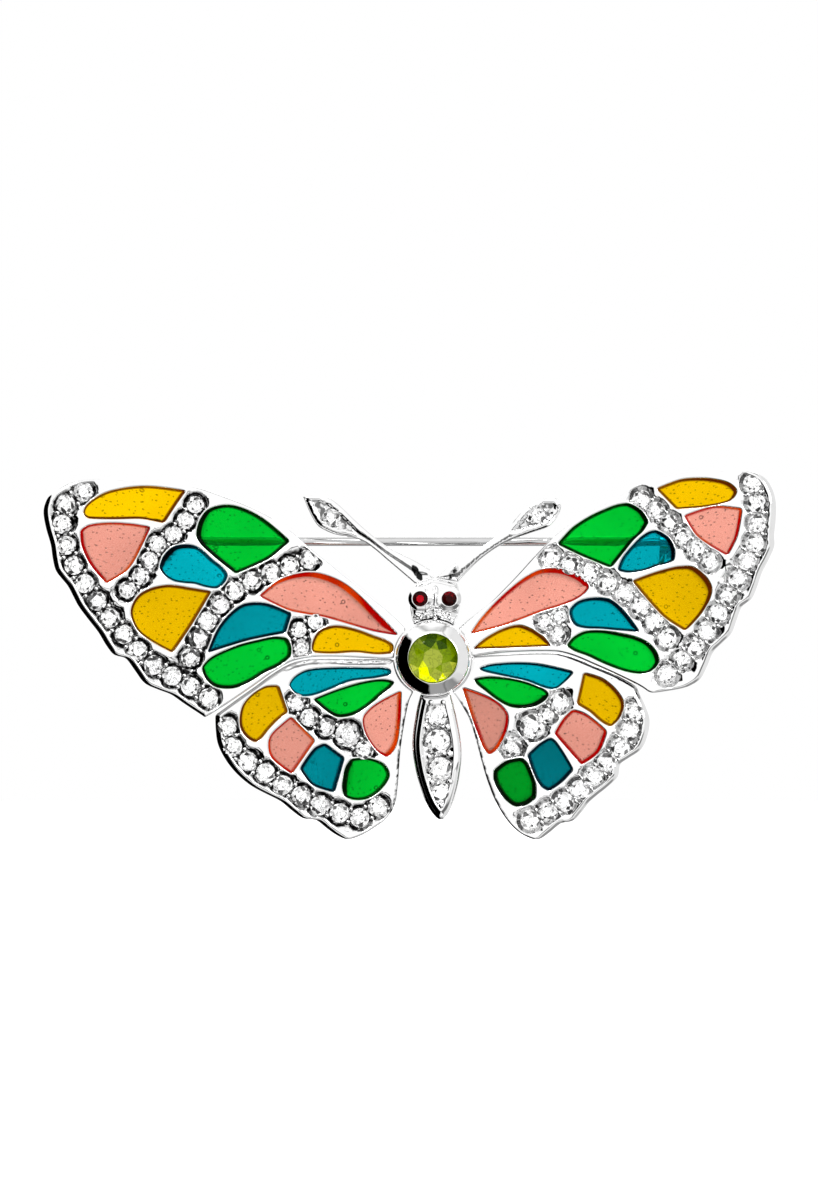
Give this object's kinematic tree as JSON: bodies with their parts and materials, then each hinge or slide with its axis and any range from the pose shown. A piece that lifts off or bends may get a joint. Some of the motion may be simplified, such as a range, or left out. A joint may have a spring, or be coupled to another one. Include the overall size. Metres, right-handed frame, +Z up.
{
  "type": "brooch",
  "caption": "Butterfly brooch of white metal with see-through enamel cells, rows of clear stones, a round green stone on the thorax and a hinged pin with a turning safety catch.",
  "frame": {"origin": "centre of the thorax's flat back, where it lies against the garment", "axes": "+X to the right when facing the brooch, +Y into the garment, +Z up towards the antennae"},
  "size_m": [0.0606, 0.0084, 0.0305],
  "materials": {
    "silver": "polished",
    "steel": "polished",
    "enamel_yellow": "glossy",
    "enamel_pink": "glossy",
    "enamel_green": "glossy",
    "enamel_teal": "glossy",
    "peridot": "faceted",
    "garnet": "faceted",
    "clear_stone": "faceted"
  },
  "bodies": {
    "brooch": {"abdomen": "silver", "abdomen_stone_1": "clear_stone", "abdomen_stone_2": "clear_stone", "abdomen_stone_3": "clear_stone", "abdomen_stone_4": "clear_stone", "catch_case": "silver", "head": "silver", "hinge_bracket": "silver", "hinge_rivet": "steel", "left_antenna": "silver", "left_antenna_stone": "clear_stone", "left_eye_garnet": "garnet", "left_eye_tube": "silver", "left_forewing_frame": "silver", "left_forewing_pane_big_green": "enamel_green", "left_forewing_pane_inner_pink": "enamel_pink", "left_forewing_pane_inner_teal": "enamel_teal", "left_forewing_pane_inner_yellow": "enamel_yellow", "left_forewing_pane_lower_green": "enamel_green", "left_forewing_pane_outer_teal": "enamel_teal", "left_forewing_pane_outer_yellow": "enamel_yellow", "left_forewing_pane_top_pink": "enamel_pink", "left_forewing_pane_top_yellow": "enamel_yellow", "left_hindwing_frame": "silver", "left_hindwing_pane_bottom_green": "enamel_green", "left_hindwing_pane_inner_pink": "enamel_pink", "left_hindwing_pane_long_green": "enamel_green", "left_hindwing_pane_long_teal": "enamel_teal", "left_hindwing_pane_outer_pink": "enamel_pink", "left_hindwing_pane_outer_teal": "enamel_teal", "left_hindwing_pane_outer_yellow": "enamel_yellow", "peridot": "peridot", "right_antenna": "silver", "right_antenna_stone": "clear_stone", "right_eye_garnet": "garnet", "right_eye_tube": "silver", "right_forewing_frame": "silver", "right_forewing_pane_big_green": "enamel_green", "right_forewing_pane_inner_pink": "enamel_pink", "right_forewing_pane_inner_teal": "enamel_teal", "right_forewing_pane_inner_yellow": "enamel_yellow", "right_forewing_pane_lower_green": "enamel_green", "right_forewing_pane_outer_teal": "enamel_teal", "right_forewing_pane_outer_yellow": "enamel_yellow", "right_forewing_pane_top_pink": "enamel_pink", "right_forewing_pane_top_yellow": "enamel_yellow", "right_hindwing_frame": "silver", "right_hindwing_pane_bottom_green": "enamel_green", "right_hindwing_pane_inner_pink": "enamel_pink", "right_hindwing_pane_long_green": "enamel_green", "right_hindwing_pane_long_teal": "enamel_teal", "right_hindwing_pane_outer_pink": "enamel_pink", "right_hindwing_pane_outer_teal": "enamel_teal", "right_hindwing_pane_outer_yellow": "enamel_yellow", "thorax_bezel": "silver"},
    "pin": {"pin_stem": "steel"},
    "catch_lock": {"catch_lock": "silver"}
  },
  "joints": [
    {"name": "pin_hinge", "type": "hinge", "parent": "brooch", "child": "pin", "pos_m": [-0.0228, 0.0008, 0.00965], "axis": [0, 0, 1], "range_deg": [0, 100]},
    {"name": "lock_turn", "type": "hinge", "parent": "brooch", "child": "catch_lock", "pos_m": [0.0202, 0.0008, 0.00965], "axis": [1, 0, 0], "range_deg": [0, 120]}
  ]
}
